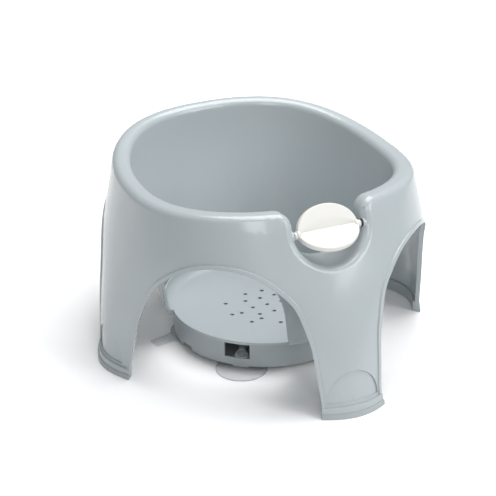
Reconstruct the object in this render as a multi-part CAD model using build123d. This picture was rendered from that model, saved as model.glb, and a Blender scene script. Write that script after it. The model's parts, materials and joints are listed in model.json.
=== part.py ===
from build123d import *
from math import atan2, cos, degrees, exp, hypot, pi, radians, sin
import os

# Baby bath ring. Millimetres, +Z up, floor at z = 0, the front with the notch towards -Y.
# The whole thing is mirrored in the plane x = 0, so most pieces are made as a left half first.

# Ring moulding: the outline grows in rows, 25 mm apart from z = -5 up. Each row holds the half width,
# the front and rear reach, how far the front and side legs swell out, and how wide the swellings spread.
FLARE_START = -5.0
FLARE_ROWS = [
    (165.0, 166.0, 166.0, 42.0, 19.5, 20.0, 15.0),
    (165.0, 166.0, 166.0, 36.0, 18.7, 20.5, 15.5),
    (165.0, 166.0, 166.0, 29.8, 17.0, 21.5, 16.5),
    (164.0, 165.0, 165.0, 23.5, 14.0, 24.5, 19.0),
    (162.5, 163.5, 164.0, 16.8, 10.0, 29.5, 23.5),
    (161.0, 161.0, 163.0, 10.0, 5.8, 38.0, 31.0),
    (159.4, 157.0, 161.5, 3.2, 1.9, 45.0, 42.0),
    (156.2, 150.5, 159.3, 0.3, 0.2, 50.0, 50.0),
    (152.6, 140.5, 157.0, 0.0, 0.0, 50.0, 50.0),
    (149.5, 132.0, 155.5, 0.0, 0.0, 50.0, 50.0),
]
# Seat wall: half width, front and rear reach, in rows from the top of the pan up.
PAN_TOP = 34.7
SEAT_ROWS = [
    (102.8, 102.8, 102.8),
    (112.8, 110.5, 113.4),
    (122.8, 115.8, 124.6),
    (132.0, 119.8, 134.0),
    (137.5, 122.0, 138.0),
]
ROW_STEP = 25.0
SQUARENESS = 2.3
WALL = 3.2
ABOVE_ALL = 300.0
BEYOND_ALL = 600.0
SKIRT_STEPS = 24
SEAT_STEPS = 14
SEAT_ROW_STEP = 50.0

# Rim: its height along Y, low over the notch and high behind the back.
RIM_LINE = [
    (-230, 196.5), (-175, 196.8), (-130, 197.0), (-80, 194.5), (-20, 193.0),
    (40, 197.5), (90, 206.0), (130, 213.5), (175, 217.0), (230, 218.0),
]
RIM_MIDDLE = (143.0, 131.0, 146.0)
RIM_ROUND = 8.5
RIM_SKIN = 8.0

# Notch for the spinner, cut down through the front of the rim
NOTCH_HALF = 38.0
NOTCH_DEEP = 31.5
NOTCH_CENTRE_Z = 174.0
NOTCH_CORNER = 14.0
NOTCH_FRONT = -200.0
NOTCH_LONG = 110.0

# Arches between the legs: half width against height, seen square on
ARCH_TURN = 41.3
ARCH_SIDE = [(104.6, -10), (103.6, 12), (98.0, 39), (91.0, 70), (82.0, 93), (72.0, 112), (57.5, 126), (39.0, 138.5)]
ARCH_TOP = 147.5
ARCH_NEAR = 105.0
TUNNEL_LONG = 140.0
BEAD_WIDE = 3.6
BEAD_HIGH = 1.5

# Leg openings in the seat wall, one each side of the front post
OPENING_TURN = 55.0
OPENING_SIDE = [(72.0, 20), (72.5, 45), (72.5, 70), (69.5, 95), (58.0, 118), (36.0, 133)]
OPENING_TOP = 138.0
OPENING_NEAR = 40.0
PAN_EDGE = 98.4
CORNER_RISE = 10.5
CORNER_INNER = (94.0, 105.3, 107.0)
CORNER_OUTER = (PAN_EDGE, 107.6, 125.0)

# A cone between the seat and the outside skin, used to cut one without touching the other
CORE_LOW_Z = -20.0
CORE_TOP_Z = 160.0
CORE_LOW_RADIUS = 103.5
CORE_TOP_RADIUS = 140.0

# Feet
LEG_BOTTOM = 5.0
LIP_TOP = 11.0
LIP_OUT = 2.2
PAD_OUT = 3.4
PAD_IN = 2.2
TONGUE_TOP = 13.0
MOON_RADIUS = 28.5
MOON_Z = 16.0
MOON_DEEP = 1.4

# Drain holes: distance from the middle one, and the turns of those on the left
DRAIN_RADIUS = 2.2
DRAIN_Y = -9.4
DRAIN_RINGS = [(0, [0]), (17, [90, 180, 270]), (24.5, [135, 225]), (34, [107, 191, 233]), (44.5, [152, 187, 222, 262])]

# Base drum
DRUM_RADIUS = 97.4
DRUM_FOOT_RADIUS = 96.2
DRUM_TOP = PAN_TOP - WALL
DRUM_BOTTOM = 4.5
DRUM_EDGE = 1.6
DRUM_FLOOR = 2.5
DRUM_WALL = 2.7
WINDOW_TURN = 43.0
WINDOW_WIDE = 27.0
WINDOW_SILL = 14.6
FINGER_TURN = 83.0
FINGER_WIDE = 17.0
FINGER_TOP = 9.5
SCREW_RADIUS = 68.0
SCREW_TURNS = (45, 135)
SCREW_POST_RADIUS = 4.5
SCREW_POST_LOW = 12.0
SCREW_SHANK = 1.6
SCREW_HEAD = 3.4
SCREW_HEAD_HIGH = 2.4
SCREW_SEAT = 8.5
SCREW_TIP = 24.0

# Suction cups
CUP_RADIUS = 27.0
CUP_TOP = 4.2
STEM_RADIUS = 3.0
HEAD_RADIUS = 6.2
HEAD_LOW = 17.0
HEAD_TOP = 23.5
CUP_BOSS_RADIUS = 9.0
FRONT_CUP = (-60.2, -69.8)
REAR_CUP = (-67.0, 30.0)
CUP_HOLLOW = 2.0
TAB_THICK = 1.6
TAB_ROOT = 22.0
TAB_WIDE = 15.0
TAB_LONG = 27.0
FRONT_TAB_TURN = 15.0
REAR_TAB_TURN = 190.0

# Spinner
AXLE_Y = -138.0
AXLE_Z = 173.5
AXLE_RADIUS = 2.0
AXLE_HALF = 46.0
RUNNING_GAP = 0.05
BUSH_RADIUS = 4.0
BUSH_WALL = 1.6
BUSH_DEEP = 10.0
HUB_RADIUS = 4.6
NECK_RADIUS = 3.6
HUB_HALF = 34.0
NECK_HALF = 36.9
VANE_HALF = 33.5
VANE_REACH = 26.0
VANE_THICK = 6.0
REAR_VANE_ANGLE = 61.0
FRONT_VANE_ANGLE = 207.0

FIT = 0.1
GREY = (0.66, 0.70, 0.71)
DARK_GREY = (0.45, 0.48, 0.49)
CLEAR = (0.85, 0.88, 0.90)
WHITE = (0.97, 0.97, 0.94)
STEEL = (0.6, 0.6, 0.62)


# Small helpers
def save(shape, name, colour):
    piece = Part() + shape
    piece.label = name
    piece.color = Color(*colour)
    export_step(piece, "parts/" + name + ".step")
    return piece


def slab(bottom, top, size=BEYOND_ALL):
    middle = (bottom + top) / 2
    return Location((0, 0, middle)) * Box(size, size, top - bottom)


def facing(turn, distance):
    # An upright plane that looks away from the middle, turned from the front towards -X.
    outward = Vector(-sin(radians(turn)), -cos(radians(turn)), 0)
    return Plane(origin=outward * distance, x_dir=Vector(0, 0, 1).cross(outward), z_dir=outward)


def post(x, y, radius, bottom, top):
    return Location((x, y, (bottom + top) / 2)) * Cylinder(radius, top - bottom)


def around_axle(radius, x_from, x_to):
    middle = (x_from + x_to) / 2
    return Location((middle, AXLE_Y, AXLE_Z), (0, 90, 0)) * Cylinder(radius, abs(x_to - x_from))


# Outlines of the ring
def reach(angle, half, front, rear):
    along = rear if sin(angle) > 0 else front
    total = abs(cos(angle) / half) ** SQUARENESS + abs(sin(angle) / along) ** SQUARENESS
    return total ** (-1 / SQUARENESS)


def swelling(angle, towards, height, spread):
    turn = (degrees(angle) - towards + 180) % 360 - 180
    return height * exp(-((turn / spread) ** 2))


def left_outline(radius_at, z, steps, past):
    # An outline from the rear over -X to the front, run some steps past x = 0 at both ends.
    points = []
    for i in range(-past, steps + past + 1):
        angle = pi / 2 + pi * i / steps
        points.append(Vector(radius_at(angle) * cos(angle), radius_at(angle) * sin(angle), z))
    return Wire([Edge.make_spline(points), Edge.make_line(points[-1], points[0])])


def skirt(offset, past=1):
    # The left half of the flared outside, swelling out into a leg at the front, side and rear.
    outlines = []
    for i, row in enumerate(FLARE_ROWS):
        half, front, rear, front_leg, side_leg, front_spread, side_spread = row

        def radius_at(angle):
            legs = swelling(angle, 180, side_leg, side_spread)
            for towards in (90, 270):
                legs += swelling(angle, towards, front_leg, front_spread)
            return reach(angle, half, front, rear) + legs + offset

        outlines.append(left_outline(radius_at, FLARE_START + ROW_STEP * i, SKIRT_STEPS, past))
    return Part() + Solid.make_loft(outlines)


def seat(offset, past=2):
    # The left half of the space inside the seat wall, made larger and deeper by the offset.
    outlines = []
    for i, (half, front, rear) in enumerate(SEAT_ROWS):
        def radius_at(angle):
            return reach(angle, half + offset, front + offset, rear + offset)

        outlines.append(left_outline(radius_at, PAN_TOP - offset + SEAT_ROW_STEP * i, SEAT_STEPS, past))
    return Part() + Solid.make_loft(outlines)


def above_rim(drop):
    # Everything over the line of the rim, let down by the drop.
    left = -BEYOND_ALL / 2
    line = Edge.make_spline([Vector(left, y, z - drop) for y, z in RIM_LINE])
    start, end = line @ 0, line @ 1
    corners = [end, (left, end.Y, ABOVE_ALL), (left, start.Y, ABOVE_ALL), start]
    side = Wire([line] + [Edge.make_line(a, b) for a, b in zip(corners, corners[1:])])
    return extrude(Face(side), BEYOND_ALL, dir=(1, 0, 0))


def notch(grow):
    # Upright sides over a half ellipse, run through the front of the ring.
    half = NOTCH_HALF + grow
    front = Plane(origin=(0, NOTCH_FRONT, NOTCH_CENTRE_Z), x_dir=(1, 0, 0), z_dir=(0, -1, 0))
    outline = Wire([
        Edge.make_line((-half, NOTCH_FRONT, ABOVE_ALL), (-half, NOTCH_FRONT, NOTCH_CENTRE_Z)),
        Edge.make_ellipse(half, NOTCH_DEEP + grow, front, start_angle=180, end_angle=360),
        Edge.make_line((half, NOTCH_FRONT, NOTCH_CENTRE_Z), (half, NOTCH_FRONT, ABOVE_ALL)),
        Edge.make_line((half, NOTCH_FRONT, ABOVE_ALL), (-half, NOTCH_FRONT, ABOVE_ALL)),
    ])
    return extrude(Face(outline), NOTCH_LONG, dir=(0, 1, 0))


def arch(side, top, grow):
    # A mirrored arch in a plane: points pushed outwards by grow, joined by one smooth curve.
    right = side + [(0, top)]
    pushed = []
    for i, (x, z) in enumerate(right):
        before = right[max(i - 1, 0)]
        after = right[i + 1] if i + 1 < len(right) else (-right[-2][0], right[-2][1])
        along = Vector(after[0] - before[0], after[1] - before[1]).normalized()
        pushed.append((x + along.Y * grow, z - along.X * grow))
    left = [(-x, z) for x, z in reversed(pushed[:-1])]
    curve = Edge.make_spline([Vector(*p) for p in pushed + left])
    return Face(Wire([curve, Edge.make_line(curve @ 1, curve @ 0)]))


def arch_tunnels(grow):
    # Tunnels for the front and rear arch on the left, from the inner core outwards.
    face = arch(ARCH_SIDE, ARCH_TOP, grow)
    tunnels = [extrude(facing(turn, ARCH_NEAR) * face, TUNNEL_LONG) for turn in (ARCH_TURN, 180 - ARCH_TURN)]
    return Part() + tunnels


def inner_core():
    # A plain cone that holds the whole seat and stays clear of the outside skin.
    height = CORE_TOP_Z - CORE_LOW_Z
    return Location((0, 0, (CORE_TOP_Z + CORE_LOW_Z) / 2)) * Cone(CORE_LOW_RADIUS, CORE_TOP_RADIUS, height)


# Ring moulding
def rim_edges(body, outside):
    # The edges where the top of the rim and the notch meet the outside, or the inside, of the ring.
    chosen = []
    for edge in body.edges():
        spots = [edge @ t for t in (0.1, 0.5, 0.9)]
        beyond = [hypot(p.X, p.Y) > reach(atan2(p.Y, p.X), *RIM_MIDDLE) for p in spots]
        middle = spots[1]
        on_notch = abs(middle.X) < NOTCH_HALF + 20 and middle.Y < 0 and middle.Z > 100
        if (middle.Z > 185 or on_notch) and all(b == outside for b in beyond):
            chosen.append(edge)
    return chosen


def rolled_ring():
    # The solid ring with its notch, before it is hollowed: every upper edge is rolled over.
    body = skirt(0) - above_rim(0) - seat(0) - notch(0)
    corner = [e for e in body.edges() if abs(e.center().X + NOTCH_HALF) < 0.5 and e.center().Z > 190]
    body = fillet(corner, NOTCH_CORNER)
    body = fillet(rim_edges(body, True), RIM_ROUND)
    return fillet(rim_edges(body, False), RIM_ROUND)


def turned_corner(bottom, inner_radius, outer_radius, beyond):
    # A ring with a curved face, level at its inner edge and climbing to its outer edge.
    top = bottom + CORNER_RISE
    curve = Edge.make_tangent_arc(Vector(inner_radius, 0, bottom), Vector(1, 0, 0), Vector(outer_radius, 0, top))
    base = bottom - 2
    corners = [curve @ 1, (beyond, 0, top), (beyond, 0, base), (inner_radius, 0, base), curve @ 0]
    outline = Wire([curve] + [Edge.make_line(a, b) for a, b in zip(corners, corners[1:])])
    return revolve(Face(outline), Axis.Z)


def moon_recesses():
    # Shallow half-moon recesses low on the outside of each leg.
    moon = Circle(MOON_RADIUS) & (Location((0, MOON_RADIUS / 2 - 1)) * Rectangle(80, MOON_RADIUS + 2))
    moons = [extrude(facing(turn, 150) * Location((0, MOON_Z)) * moon, 80) for turn in (0, 90, 180)]
    return (Part() + moons) - skirt(-MOON_DEEP, past=2)


def leg_opening():
    # The opening in the seat wall for a leg, down to the edge of the pan.
    face = arch(OPENING_SIDE, OPENING_TOP, 0)
    tunnel = extrude(facing(OPENING_TURN, OPENING_NEAR) * face, TUNNEL_LONG) & inner_core()
    return tunnel - post(0, 0, PAN_EDGE, -20, PAN_TOP)


def arch_beads():
    # The raised edge that runs round each arch and down both sides of each leg.
    skin = skirt(BEAD_HIGH) - skirt(-1, past=2)
    return skin & (arch_tunnels(BEAD_WIDE) - arch_tunnels(0)) & slab(LEG_BOTTOM, ABOVE_ALL)


def foot_lips():
    return ((skirt(LIP_OUT) - skirt(-1, past=2)) & slab(LEG_BOTTOM, LIP_TOP)) - arch_tunnels(0)


def drain_holes():
    holes = []
    for distance, turns in DRAIN_RINGS:
        for turn in turns:
            x = distance * cos(radians(turn))
            y = DRAIN_Y + distance * sin(radians(turn))
            holes.append(post(x, y, DRAIN_RADIUS, PAN_TOP - 2 * WALL, PAN_TOP + WALL))
    return holes


def screw_places():
    return [(-SCREW_RADIUS * sin(radians(t)), -SCREW_RADIUS * cos(radians(t))) for t in SCREW_TURNS]


def left_ring_body():
    pan_bottom = PAN_TOP - WALL
    cavity = skirt(-WALL, past=2) - above_rim(RIM_SKIN) - seat(WALL, past=3) - notch(WALL)
    body = rolled_ring() - (arch_tunnels(0) - inner_core()) - cavity
    body += turned_corner(PAN_TOP, *CORNER_INNER)
    body -= turned_corner(pan_bottom, *CORNER_OUTER)
    body -= leg_opening()
    body -= moon_recesses()
    body += around_axle(BUSH_RADIUS + BUSH_WALL, -NOTCH_HALF - 0.5, -NOTCH_HALF - BUSH_DEEP - WALL)
    for x, y in screw_places():
        body += post(x, y, SCREW_POST_RADIUS, SCREW_POST_LOW, pan_bottom + 0.5)
        body -= post(x, y, SCREW_SHANK + FIT, SCREW_POST_LOW - 1, pan_bottom)
    body -= around_axle(BUSH_RADIUS + FIT, -NOTCH_HALF + 1, -NOTCH_HALF - BUSH_DEEP)
    body -= drain_holes()
    body = body & slab(LEG_BOTTOM, ABOVE_ALL)
    return body + arch_beads() + foot_lips()


def joined_halves(body):
    # Cut the half off at x = 0, mirror it and sew the two skins into one solid.
    half = body & (Location((-BEYOND_ALL / 2, 0, 0)) * Box(BEYOND_ALL, BEYOND_ALL, BEYOND_ALL))
    skin = []
    for side in (half, mirror(half, about=Plane.YZ)):
        skin += [f for f in side.faces() if abs(f.center().X) > 0.01 or abs(f.normal_at().X) < 0.999]
    return Solid(Shell(skin))


def foot_pads():
    # A soft pad under one leg: a strip under its edge with a tongue behind the skin.
    tunnels = arch_tunnels(0)
    strip = (skirt(PAD_OUT) - skirt(-WALL - PAD_IN, past=2)) & slab(0, LEG_BOTTOM)
    tongue = (skirt(-WALL - FIT) - skirt(-WALL - PAD_IN, past=2)) & slab(LEG_BOTTOM, TONGUE_TOP)
    return strip + tongue - tunnels


# Base drum under the pan
def base_drum():
    foot = (DRUM_FOOT_RADIUS, DRUM_BOTTOM + DRUM_EDGE)
    profile = [
        (0, DRUM_BOTTOM), (DRUM_FOOT_RADIUS - DRUM_EDGE, DRUM_BOTTOM), foot, (DRUM_RADIUS, DRUM_TOP),
        (DRUM_RADIUS - DRUM_WALL, DRUM_TOP), (DRUM_FOOT_RADIUS - DRUM_WALL, DRUM_BOTTOM + DRUM_FLOOR),
        (0, DRUM_BOTTOM + DRUM_FLOOR),
    ]
    drum = revolve(Plane.XZ * make_face(Polyline(*profile, close=True)), Axis.Z)
    inside = post(0, 0, DRUM_RADIUS - 1, DRUM_BOTTOM, DRUM_TOP)
    for side in (-1, 1):
        for x, y in (FRONT_CUP, REAR_CUP):
            drum += post(-side * x, y, CUP_BOSS_RADIUS, DRUM_BOTTOM, WINDOW_SILL) & inside
            drum -= post(-side * x, y, STEM_RADIUS + FIT, 0, DRUM_TOP)
        for x, y in screw_places():
            drum += post(-side * x, y, SCREW_POST_RADIUS, DRUM_BOTTOM, SCREW_POST_LOW)
            drum -= post(-side * x, y, SCREW_SHANK + FIT, 0, DRUM_TOP)
            drum -= post(-side * x, y, SCREW_HEAD + 0.4, 0, SCREW_SEAT)
        window = Box(WINDOW_WIDE, DRUM_TOP - WINDOW_SILL + 2, 12)
        place = facing(side * WINDOW_TURN, DRUM_RADIUS)
        drum -= place * Location((0, (DRUM_TOP + 2 + WINDOW_SILL) / 2)) * window
        finger = Box(FINGER_WIDE, FINGER_TOP, 12)
        drum -= facing(side * FINGER_TURN, DRUM_RADIUS) * Location((0, FINGER_TOP / 2)) * finger
    return drum


# Suction cups
def suction_cup(x, y, tab_turn):
    # A turned cup with a stem and a domed head, and a flat pull tab on its rim.
    bell = Edge.make_three_point_arc((CUP_RADIUS, 0, 0.9), (CUP_RADIUS * 0.6, 0, 2.3), (STEM_RADIUS + 2, 0, CUP_TOP))
    dome = Edge.make_tangent_arc(Vector(0, 0, HEAD_TOP), Vector(1, 0, 0), Vector(HEAD_RADIUS, 0, HEAD_LOW))
    hollow = Edge.make_tangent_arc(Vector(0, 0, CUP_HOLLOW), Vector(1, 0, 0), Vector(CUP_RADIUS - 1, 0, 0))
    head_base = WINDOW_SILL + FIT
    corners = [bell @ 1, (STEM_RADIUS, 0, CUP_TOP), (STEM_RADIUS, 0, head_base), (HEAD_RADIUS, 0, head_base), dome @ 1]
    edges = [bell, dome, hollow] + [Edge.make_line(a, b) for a, b in zip(corners, corners[1:])]
    edges.append(Edge.make_line(dome @ 0, hollow @ 0))
    edges.append(Edge.make_line(hollow @ 1, (CUP_RADIUS, 0, 0)))
    edges.append(Edge.make_line((CUP_RADIUS, 0, 0), bell @ 0))
    cup = revolve(Face(Wire(edges)), Axis.Z)
    root, waist, end = CUP_RADIUS - 2.5, CUP_RADIUS + 9, CUP_RADIUS + TAB_LONG
    half = [(root, TAB_ROOT / 2), (waist, TAB_WIDE / 2), (end, TAB_WIDE / 2)]
    outline = half + [(across, -along) for across, along in reversed(half)]
    tab = extrude(fillet(make_face(Polyline(*outline, close=True)).vertices(), 2.0), TAB_THICK)
    return Location((x, y, 0), (0, 0, tab_turn)) * (cup + tab)


# Spinner with its axle and bushes
def vane(angle):
    # Half an ellipse along the axle, standing out from it at the angle, as thick as the hub is wide.
    outline = Ellipse(VANE_HALF, VANE_REACH) & (Location((0, VANE_REACH / 2)) * Rectangle(2 * VANE_HALF, VANE_REACH))
    plate = extrude(outline, VANE_THICK / 2, both=True)
    return Location((0, AXLE_Y, AXLE_Z), (angle, 0, 0)) * plate


def spinner_half(angle, sign):
    split = (REAR_VANE_ANGLE + FRONT_VANE_ANGLE) / 2 - 90
    hub = around_axle(HUB_RADIUS, -HUB_HALF, HUB_HALF) + around_axle(NECK_RADIUS, -NECK_HALF, NECK_HALF)
    side = Location((0, AXLE_Y, AXLE_Z), (split, 0, 0)) * Location((0, sign * 50, 0)) * Box(100, 100, 100)
    body = (hub & side) + (vane(angle) & side)
    return body - around_axle(AXLE_RADIUS, -AXLE_HALF, AXLE_HALF)


def bush(side):
    sleeve = around_axle(BUSH_RADIUS, side * NOTCH_HALF, side * (NOTCH_HALF + BUSH_DEEP - FIT))
    return sleeve - around_axle(AXLE_RADIUS + RUNNING_GAP, side * (NOTCH_HALF - 1), side * (AXLE_HALF + 1))


def base_screws():
    screws = []
    for side in (-1, 1):
        for x, y in screw_places():
            head = post(-side * x, y, SCREW_HEAD, SCREW_SEAT - SCREW_HEAD_HIGH, SCREW_SEAT)
            screws.append(head + post(-side * x, y, SCREW_SHANK, SCREW_SEAT, SCREW_TIP))
    return Part() + screws


def main():
    os.makedirs("parts", exist_ok=True)
    save(joined_halves(left_ring_body()), "ring_body", GREY)
    save(base_drum(), "base_drum", GREY)
    pads = foot_pads()
    left = [p for p in pads.solids() if abs(p.center().Y) < 60][0]
    front = joined_halves(Part() + [p for p in pads.solids() if p.center().Y < -60][0])
    rear = joined_halves(Part() + [p for p in pads.solids() if p.center().Y > 60][0])
    save(front, "foot_pad_front", DARK_GREY)
    save(rear, "foot_pad_rear", DARK_GREY)
    save(left, "foot_pad_left", DARK_GREY)
    save(mirror(left, about=Plane.YZ), "foot_pad_right", DARK_GREY)
    for name, place, tab_turn in (("front", FRONT_CUP, FRONT_TAB_TURN), ("rear", REAR_CUP, REAR_TAB_TURN)):
        cup = suction_cup(*place, tab_turn)
        save(cup, "suction_cup_" + name + "_left", CLEAR)
        save(mirror(cup, about=Plane.YZ), "suction_cup_" + name + "_right", CLEAR)
    save(spinner_half(REAR_VANE_ANGLE, 1), "spinner_rear_half", WHITE)
    save(spinner_half(FRONT_VANE_ANGLE, -1), "spinner_front_half", WHITE)
    save(around_axle(AXLE_RADIUS, -AXLE_HALF, AXLE_HALF), "spinner_axle", STEEL)
    save(bush(-1), "axle_bush_left", DARK_GREY)
    save(bush(1), "axle_bush_right", DARK_GREY)
    save(base_screws(), "base_screws", STEEL)


main()
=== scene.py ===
import bpy
import bmesh
import json
from math import cos, pi, radians, sin, sqrt
from mathutils import Matrix, Vector


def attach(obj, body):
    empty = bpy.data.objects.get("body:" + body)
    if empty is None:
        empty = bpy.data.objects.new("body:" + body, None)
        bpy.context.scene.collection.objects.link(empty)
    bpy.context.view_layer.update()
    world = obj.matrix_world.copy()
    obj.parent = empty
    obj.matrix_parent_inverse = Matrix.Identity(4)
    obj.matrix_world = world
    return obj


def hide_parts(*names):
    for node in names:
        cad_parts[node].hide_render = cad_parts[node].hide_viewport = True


# Baby bath ring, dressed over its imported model. Metres, +Z up, the front with the notch towards -Y.
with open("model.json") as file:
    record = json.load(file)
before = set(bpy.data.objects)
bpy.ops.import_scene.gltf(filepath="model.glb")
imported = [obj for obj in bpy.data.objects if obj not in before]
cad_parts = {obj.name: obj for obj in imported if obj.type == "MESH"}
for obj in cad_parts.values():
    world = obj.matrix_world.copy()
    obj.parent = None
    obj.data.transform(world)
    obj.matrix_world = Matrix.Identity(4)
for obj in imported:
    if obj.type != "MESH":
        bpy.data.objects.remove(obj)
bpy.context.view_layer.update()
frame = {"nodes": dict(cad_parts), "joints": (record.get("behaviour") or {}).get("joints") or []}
nodes = frame["nodes"]
MM = 0.001
CORNERS = ("front_left", "front_right", "rear_left", "rear_right")

# Colours of the surfaces themselves, in linear light, except the drum's grey, which carries painted shade
GREY = (0.385, 0.425, 0.442)
GREY_DEEP = (0.378, 0.418, 0.435)
PAD_GREY = (0.365, 0.403, 0.418)
# The drum is the ring's own grey plastic, darkened here to paint in the shade that falls on it under the
# ring
DRUM_GREY_PAINTED_SHADE = (0.322, 0.356, 0.370)
OFF_WHITE = (0.655, 0.647, 0.617)
CLEAR = (0.620, 0.645, 0.660)
CLEAR_DEEP = (0.42, 0.45, 0.47)
DARK = (0.055, 0.060, 0.064)
STEEL = (0.560, 0.565, 0.575)
PAPER = (0.960, 0.961, 0.963)
DAYLIGHT_TINT = (0.97, 0.985, 1.0)

# The camera's place and lens give the photograph's view
CAMERA_PLACE = Vector((-0.7435, -1.4663, 0.8490))
CAMERA_TARGET = Vector((-0.0146, 0.0072, 0.0972))
CAMERA_LENS = 123.4
CAMERA_SENSOR = 36.0
CLIP_NEAR = 0.05
CLIP_FAR = 30.0

# Grain of the materials: scales are in waves per metre, depths in metres
PLASTIC_IOR = 1.49
VINYL_IOR = 1.5
FLOW_SCALE = 9.0
HAIR_SCALE = 260.0
HAIR_STRETCH = (1.0, 1.0, 0.35)
PEEL_SCALE = 420.0
PEEL_DEPTH = 0.12 * MM
EDGE_SAMPLES = 6
COAT_ROUGHNESS = 0.10
SOFT_LIGHT_SHARE = 0.04
SOFT_LIGHT_REACH = (4.0 * MM, 4.0 * MM, 4.0 * MM)
RIPPLE_SCALE = 60.0
RIPPLE_DEPTH = 0.3 * MM
RIPPLE_STRENGTH = 0.15
EDGE_ON_BLEND = 0.35
LATHE_SCALE = 300.0
LATHE_STRETCH = (1.0, 14.0, 14.0)
FIBRE_SCALE = 30.0


# Materials
def new_material(name):
    material = bpy.data.materials.new(name)
    material.use_nodes = True
    return material, material.node_tree.nodes, material.node_tree.links


def place(tree, links, stretch=(1, 1, 1)):
    coordinates = tree.new("ShaderNodeTexCoord")
    mapping = tree.new("ShaderNodeMapping")
    mapping.inputs["Scale"].default_value = stretch
    links.new(coordinates.outputs["Object"], mapping.inputs["Vector"])
    return mapping.outputs["Vector"]


def noise(tree, links, where, scale, detail, roughness=0.5):
    texture = tree.new("ShaderNodeTexNoise")
    texture.inputs["Scale"].default_value = scale
    texture.inputs["Detail"].default_value = detail
    texture.inputs["Roughness"].default_value = roughness
    links.new(where, texture.inputs["Vector"])
    return texture.outputs["Fac"]


def spread(tree, links, source, low, high):
    # Map a grey value from 0 to 1 onto a narrow range.
    ranged = tree.new("ShaderNodeMapRange")
    ranged.inputs["To Min"].default_value = low
    ranged.inputs["To Max"].default_value = high
    links.new(source, ranged.inputs["Value"])
    return ranged.outputs["Result"]


def tint(tree, links, source, deep, light, start=0.0, end=1.0):
    # Turn a grey value into a colour between two close shades.
    ramp = tree.new("ShaderNodeValToRGB")
    first, last = ramp.color_ramp.elements
    first.position = start
    first.color = (*deep, 1)
    last.position = end
    last.color = (*light, 1)
    links.new(source, ramp.inputs["Fac"])
    return ramp.outputs["Color"]


def raised(tree, links, source, strength, depth):
    bump = tree.new("ShaderNodeBump")
    bump.inputs["Strength"].default_value = strength
    bump.inputs["Distance"].default_value = depth
    links.new(source, bump.inputs["Height"])
    return bump


def darker(colour, share):
    return [channel * share for channel in colour]


def moulded_plastic(name, light, deep, rough, gloss, grain, edge):
    # Injection-moulded plastic: slow flow marks in the colour, hairline wear in the gloss,
    # a trace of orange peel in the surface, and edges that catch the light.
    material, tree, links = new_material(name)
    shader = tree["Principled BSDF"]
    where = place(tree, links)
    flow = noise(tree, links, where, FLOW_SCALE, 3.0)
    links.new(tint(tree, links, flow, deep, light, 0.30, 0.70), shader.inputs["Base Color"])

    wiped = place(tree, links, HAIR_STRETCH)
    hairs = noise(tree, links, wiped, HAIR_SCALE, 4.0, 0.65)
    links.new(spread(tree, links, hairs, rough - 0.02, rough + 0.03), shader.inputs["Roughness"])

    soft_edge = tree.new("ShaderNodeBevel")
    soft_edge.samples = EDGE_SAMPLES
    soft_edge.inputs["Radius"].default_value = edge
    bump = raised(tree, links, noise(tree, links, where, PEEL_SCALE, 2.0), grain, PEEL_DEPTH)
    links.new(soft_edge.outputs["Normal"], bump.inputs["Normal"])
    links.new(bump.outputs["Normal"], shader.inputs["Normal"])
    shader.inputs["IOR"].default_value = PLASTIC_IOR
    shader.inputs["Coat Weight"].default_value = gloss
    shader.inputs["Coat Roughness"].default_value = COAT_ROUGHNESS
    shader.inputs["Subsurface Weight"].default_value = SOFT_LIGHT_SHARE
    shader.inputs["Subsurface Radius"].default_value = SOFT_LIGHT_REACH
    return material


def clear_vinyl(name, least, most):
    # Soft clear vinyl: faint where the eye meets it square on, more solid where it is seen edge on.
    material, tree, links = new_material(name)
    shader = tree["Principled BSDF"]
    ripples = noise(tree, links, place(tree, links), RIPPLE_SCALE, 3.0)
    links.new(tint(tree, links, ripples, CLEAR_DEEP, CLEAR), shader.inputs["Base Color"])
    links.new(spread(tree, links, ripples, 0.10, 0.22), shader.inputs["Roughness"])
    bump = raised(tree, links, ripples, RIPPLE_STRENGTH, RIPPLE_DEPTH)
    links.new(bump.outputs["Normal"], shader.inputs["Normal"])
    edge_on = tree.new("ShaderNodeLayerWeight")
    edge_on.inputs["Blend"].default_value = EDGE_ON_BLEND
    links.new(spread(tree, links, edge_on.outputs["Facing"], least, most), shader.inputs["Alpha"])
    shader.inputs["IOR"].default_value = VINYL_IOR
    return material


def turned_steel(name):
    # Steel with the fine rings that a lathe leaves round the rod.
    material, tree, links = new_material(name)
    shader = tree["Principled BSDF"]
    lines = noise(tree, links, place(tree, links, LATHE_STRETCH), LATHE_SCALE, 3.0)
    links.new(tint(tree, links, lines, darker(STEEL, 0.8), STEEL), shader.inputs["Base Color"])
    links.new(spread(tree, links, lines, 0.22, 0.42), shader.inputs["Roughness"])
    shader.inputs["Metallic"].default_value = 1.0
    return material


def paper_floor(name):
    material, tree, links = new_material(name)
    shader = tree["Principled BSDF"]
    fibre = noise(tree, links, place(tree, links), FIBRE_SCALE, 3.0)
    links.new(spread(tree, links, fibre, 0.5, 0.7), shader.inputs["Roughness"])
    shader.inputs["Base Color"].default_value = (*PAPER, 1)
    shader.inputs["Specular IOR Level"].default_value = 0.3
    return material


ring_plastic = moulded_plastic(
    "grey_gloss_plastic", GREY, GREY_DEEP,
    rough=0.24, gloss=0.35, grain=0.04, edge=0.6 * MM)
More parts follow.
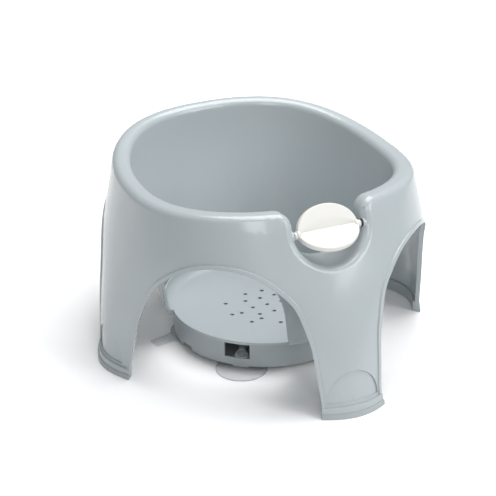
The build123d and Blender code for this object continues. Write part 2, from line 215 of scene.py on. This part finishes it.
# The drum's material has the same plastic grain, on a base colour darkened with painted shade
drum_plastic_painted_shade = moulded_plastic(
    "grey_base_plastic_painted_shade", DRUM_GREY_PAINTED_SHADE, darker(DRUM_GREY_PAINTED_SHADE, 0.98),
    rough=0.34, gloss=0.20, grain=0.14, edge=0.5 * MM)
pad_rubber = moulded_plastic(
    "grey_pad_rubber", PAD_GREY, darker(PAD_GREY, 0.92),
    rough=0.55, gloss=0.0, grain=0.40, edge=0.5 * MM)
white_plastic = moulded_plastic(
    "off_white_plastic", OFF_WHITE, darker(OFF_WHITE, 0.985),
    rough=0.42, gloss=0.05, grain=0.22, edge=0.3 * MM)
bush_plastic = moulded_plastic(
    "dark_bush_plastic", DARK, darker(DARK, 0.8),
    rough=0.40, gloss=0.0, grain=0.20, edge=0.3 * MM)
vinyl = clear_vinyl("clear_soft_vinyl", least=0.08, most=0.55)
vinyl_edge = clear_vinyl("clear_soft_vinyl_edge", least=0.75, most=0.95)
steel = turned_steel("turned_steel")

# Pieces: edges sharper than these angles stay as corners, the rest are shaded smooth
CAD_CORNER = radians(28)
NUB_CORNER = radians(60)
RIM_CORNER = radians(80)
FLAP_CORNER = radians(40)
WELD = 0.002 * MM


def add_piece(mesh, name, body, material, replaced=()):
    piece = bpy.data.objects.new(name, mesh)
    bpy.context.scene.collection.objects.link(piece)
    mesh.materials.clear()
    mesh.materials.append(material)
    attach(piece, body)
    if replaced:
        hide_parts(*replaced)
    return piece


def smooth_by_angle(work, angle):
    for face in work.faces:
        face.smooth = True
    for edge in work.edges:
        edge.smooth = not (len(edge.link_faces) == 2 and edge.calc_face_angle(0.0) > angle)


def finished(work, mesh, angle):
    smooth_by_angle(work, angle)
    work.to_mesh(mesh)
    work.free()
    return mesh


def welded_copy(node, name):
    # The node's own surface, joined along its seams and shaded smooth except at real corners.
    mesh = nodes[node].data.copy()
    mesh.name = name
    if "custom_normal" in mesh.attributes:
        mesh.attributes.remove(mesh.attributes["custom_normal"])
    work = bmesh.new()
    work.from_mesh(mesh)
    bmesh.ops.remove_doubles(work, verts=work.verts, dist=WELD)
    return finished(work, mesh, CAD_CORNER)


def dressed(node, name, body, material):
    piece = add_piece(welded_copy(node, name), name, body, material, (node,))
    weighted = piece.modifiers.new("even_shading", "WEIGHTED_NORMAL")
    weighted.keep_sharp = True


dressed("ring_body", "ring_moulding", "ring", ring_plastic)
dressed("base_drum", "base_housing", "ring", drum_plastic_painted_shade)
for side in ("front", "rear", "left", "right"):
    dressed("foot_pad_" + side, "soft_foot_" + side, "ring", pad_rubber)
for corner in CORNERS:
    dressed("suction_cup_" + corner, "clear_cup_" + corner, "ring", vinyl)
for side in ("left", "right"):
    dressed("axle_bush_" + side, "bush_" + side, "ring", bush_plastic)
dressed("spinner_axle", "axle_rod", "spinner", steel)
dressed("base_screws", "screw_set", "ring", steel)

# Cups: nubs round the stud head, which show in the windows of the drum, and a round outer edge
HEAD_RADIUS = 6.2 * MM
HEAD_BASE = 14.7 * MM
NUB_COUNT = 12
NUB_RADIUS = 0.9 * MM
NUB_STRETCH = 1.6
NUB_MIDDLE = HEAD_BASE + 2.2 * NUB_RADIUS
NUB_SEGMENTS = 12
NUB_RINGS = 8
CUP_RADIUS = 27.0 * MM
EDGE_WIRE = 0.45 * MM
EDGE_TURNS = 96
EDGE_SIDES = 8


def cup_axis(corner):
    # The cup's own axis, from the round stud head high in the node.
    points = [v.co for v in nodes["suction_cup_" + corner].data.vertices if v.co.z > HEAD_BASE]
    xs = [p.x for p in points]
    ys = [p.y for p in points]
    return (min(xs) + max(xs)) / 2, (min(ys) + max(ys)) / 2


def stud_nubs(corner):
    name = "stud_nubs_" + corner
    x, y = cup_axis(corner)
    work = bmesh.new()
    for i in range(NUB_COUNT):
        turn = 2 * pi * i / NUB_COUNT
        spot = Vector((x + HEAD_RADIUS * cos(turn), y + HEAD_RADIUS * sin(turn), NUB_MIDDLE))
        stretched = Matrix.Translation(spot) @ Matrix.Diagonal((1, 1, NUB_STRETCH, 1))
        bmesh.ops.create_uvsphere(
            work, u_segments=NUB_SEGMENTS, v_segments=NUB_RINGS, radius=NUB_RADIUS, matrix=stretched)
    mesh = finished(work, bpy.data.meshes.new(name), NUB_CORNER)
    add_piece(mesh, name, "ring", vinyl)


def cup_rim(corner):
    # The thicker round edge of the cup, which shows as a thin dark line on the floor.
    name = "cup_rim_" + corner
    x, y = cup_axis(corner)
    work = bmesh.new()
    rings = []
    for i in range(EDGE_TURNS):
        turn = 2 * pi * i / EDGE_TURNS
        ring = []
        for j in range(EDGE_SIDES):
            side_turn = 2 * pi * j / EDGE_SIDES
            radius = CUP_RADIUS - EDGE_WIRE + EDGE_WIRE * cos(side_turn)
            height = EDGE_WIRE + EDGE_WIRE * sin(side_turn)
            ring.append(work.verts.new((x + radius * cos(turn), y + radius * sin(turn), height)))
        rings.append(ring)
    for near, far in zip(rings, rings[1:] + rings[:1]):
        for j in range(EDGE_SIDES):
            k = (j + 1) % EDGE_SIDES
            work.faces.new([near[j], far[j], far[k], near[k]])
    bmesh.ops.recalc_face_normals(work, faces=work.faces)
    mesh = finished(work, bpy.data.meshes.new(name), RIM_CORNER)
    add_piece(mesh, name, "ring", vinyl_edge)


for corner in CORNERS:
    stud_nubs(corner)
    cup_rim(corner)

# Spinner: each half is a thick vane with half of the hub, and the rear vane is a little hollow at the hub
AXLE = Vector(frame["joints"][0]["pos_m"])
HUB_RADIUS = 4.6 * MM
HUB_HALF = 34.0 * MM
HUB_CHAMFER = 0.5 * MM
HUB_STEPS = 24
WAIST_RADIUS = 2.6 * MM
WAIST_HALF = 31.0 * MM
WAIST_SLOPE = 2.0 * MM
NECK_RADIUS = 3.6 * MM
NECK_HALF = 36.9 * MM
NECK_CHAMFER = 0.4 * MM
BORE_RADIUS = 2.0 * MM
VANE_HALF = 33.5 * MM
VANE_REACH = 26.0 * MM
VANE_THICK = 6.0 * MM
VANE_ROUND = 1.1 * MM
VANE_TURNS = 72
VANE_RINGS = 22
HOLLOW_DEPTH = 1.1 * MM
HOLLOW_REACH = 13.0 * MM
HOLLOW_CURVE = 1.3
REAR_VANE_ANGLE = 61.0
FRONT_VANE_ANGLE = 207.0


def half_thickness(across, out, depth, hollow):
    # Half the plate's thickness: a rounded rim, and a lens-shaped hollow along the hub.
    thick = VANE_THICK / 2
    if depth < VANE_ROUND:
        thick -= VANE_ROUND - sqrt(max(VANE_ROUND ** 2 - (VANE_ROUND - depth) ** 2, 0.0))
    lens = HOLLOW_REACH * (1 - (across / VANE_HALF) ** 2)
    if out < lens:
        thick -= hollow * (1 - out / lens) ** HOLLOW_CURVE
    return thick


def vane_sheet(work, turn, sign, hollow):
    # One face of the vane: its middle point on the hub, and rings that follow the half ellipse.
    middle = turn @ Vector((0, 0, sign * half_thickness(0.0, 0.0, VANE_REACH, hollow)))
    rings = []
    for i in range(1, VANE_RINGS + 1):
        share = sin(pi / 2 * i / VANE_RINGS)
        depth = (1 - share) * VANE_REACH
        ring = []
        for j in range(VANE_TURNS + 1):
            t = pi * j / VANE_TURNS
            across = VANE_HALF * share * cos(t)
            out = VANE_REACH * share * sin(t)
            up = sign * half_thickness(across, out, depth, hollow)
            ring.append(work.verts.new(turn @ Vector((across, out, up))))
        rings.append(ring)
    return work.verts.new(middle), rings


def vane_mesh(work, angle, hollow):
    turn = Matrix.Translation(AXLE) @ Matrix.Rotation(radians(angle), 4, "X")
    sheets = [vane_sheet(work, turn, sign, hollow) for sign in (-1, 1)]
    for middle, rings in sheets:
        for j in range(VANE_TURNS):
            work.faces.new([middle, rings[0][j], rings[0][j + 1]])
        for inner, outer in zip(rings, rings[1:]):
            for j in range(VANE_TURNS):
                work.faces.new([inner[j], outer[j], outer[j + 1], inner[j + 1]])
    (low_middle, low), (high_middle, high) = sheets
    join_rows(work, low[-1], high[-1])
    for end in (0, -1):
        low_row = [low_middle] + [ring[end] for ring in low]
        high_row = [high_middle] + [ring[end] for ring in high]
        join_rows(work, low_row, high_row)


def join_rows(work, low_row, high_row):
    for a, b, c, d in zip(low_row, low_row[1:], high_row[1:], high_row):
        work.faces.new([a, b, c, d])


def hub_mesh(work, middle_angle):
    # Half of the hub round the axle, open at the bore, with a collar at each end.
    profile = [
        (-NECK_HALF, BORE_RADIUS),
        (-NECK_HALF, NECK_RADIUS - NECK_CHAMFER),
        (-NECK_HALF + NECK_CHAMFER, NECK_RADIUS),
        (-HUB_HALF, NECK_RADIUS),
        (-HUB_HALF, HUB_RADIUS - HUB_CHAMFER),
        (-HUB_HALF + HUB_CHAMFER, HUB_RADIUS),
        (-WAIST_HALF, HUB_RADIUS),
        (-WAIST_HALF + WAIST_SLOPE, WAIST_RADIUS),
    ]
    profile += [(-x, radius) for x, radius in reversed(profile)]
    rows = []
    for i in range(HUB_STEPS + 1):
        t = radians(middle_angle - 90) + pi * i / HUB_STEPS
        rows.append([work.verts.new(AXLE + Vector((x, r * cos(t), r * sin(t)))) for x, r in profile])
    for near, far in zip(rows, rows[1:]):
        join_rows(work, near + near[:1], far + far[:1])
    work.faces.new(rows[0])
    work.faces.new(rows[-1])


def spinner_half(name, node, vane_angle, hub_angle, hollow):
    work = bmesh.new()
    vane_mesh(work, vane_angle, hollow)
    hub_mesh(work, hub_angle)
    bmesh.ops.recalc_face_normals(work, faces=work.faces)
    mesh = finished(work, bpy.data.meshes.new(name), FLAP_CORNER)
    add_piece(mesh, name, "spinner", white_plastic, (node,))


# The hub parts along the plane midway between the two vanes.
HUB_MIDDLE = (REAR_VANE_ANGLE + FRONT_VANE_ANGLE) / 2
spinner_half("flap_rear", "spinner_rear_half", REAR_VANE_ANGLE, HUB_MIDDLE - 90, HOLLOW_DEPTH)
spinner_half("flap_front", "spinner_front_half", FRONT_VANE_ANGLE, HUB_MIDDLE + 90, 0.0)

# Floor, light and camera
FLOOR_HALF = 4.0
RING_MIDDLE = (0, 0, 0.1)


def floor():
    mesh = bpy.data.meshes.new("studio_floor")
    corners = [(x * FLOOR_HALF, y * FLOOR_HALF, 0) for x, y in ((-1, -1), (1, -1), (1, 1), (-1, 1))]
    mesh.from_pydata(corners, [], [(0, 1, 2, 3)])
    mesh.materials.append(paper_floor("white_paper"))
    sheet = bpy.data.objects.new("studio_floor", mesh)
    bpy.context.scene.collection.objects.link(sheet)


def softbox(name, location, target, width, height, power, beam=180.0):
    light = bpy.data.lights.new(name, "AREA")
    light.shape = "RECTANGLE"
    light.size = width
    light.size_y = height
    light.energy = power
    light.spread = radians(beam)
    lamp = bpy.data.objects.new(name, light)
    lamp.location = location
    lamp.rotation_euler = (Vector(target) - Vector(location)).to_track_quat("-Z", "Y").to_euler()
    bpy.context.scene.collection.objects.link(lamp)


def daylight(strength):
    world = bpy.data.worlds.new("soft_daylight")
    world.use_nodes = True
    background = world.node_tree.nodes["Background"]
    background.inputs["Color"].default_value = (*DAYLIGHT_TINT, 1)
    background.inputs["Strength"].default_value = strength
    bpy.context.scene.world = world


def camera():
    data = bpy.data.cameras.new("photo_camera")
    data.lens = CAMERA_LENS
    data.sensor_width = CAMERA_SENSOR
    data.clip_start = CLIP_NEAR
    data.clip_end = CLIP_FAR
    eye = bpy.data.objects.new("photo_camera", data)
    eye.location = CAMERA_PLACE
    eye.rotation_euler = (CAMERA_TARGET - CAMERA_PLACE).to_track_quat("-Z", "Y").to_euler()
    bpy.context.scene.collection.objects.link(eye)
    bpy.context.scene.camera = eye


floor()
daylight(0.41)
softbox("overhead_softbox", (0.35, 0.1, 1.7), RING_MIDDLE, width=1.4, height=1.4, power=32.0)
softbox("front_softbox", (1.0, -1.5, 1.1), RING_MIDDLE, width=0.7, height=1.1, power=11.0)
softbox("near_left_softbox", (-0.7, -1.9, 1.2), RING_MIDDLE, width=0.6, height=1.0, power=8.5)
softbox("rear_floor_softbox", (0.7, 2.4, 2.2), (0.7, 2.4, 0.0), width=2.4, height=2.0, power=45.0, beam=70.0)
camera()
bpy.context.scene.view_settings.view_transform = "Standard"
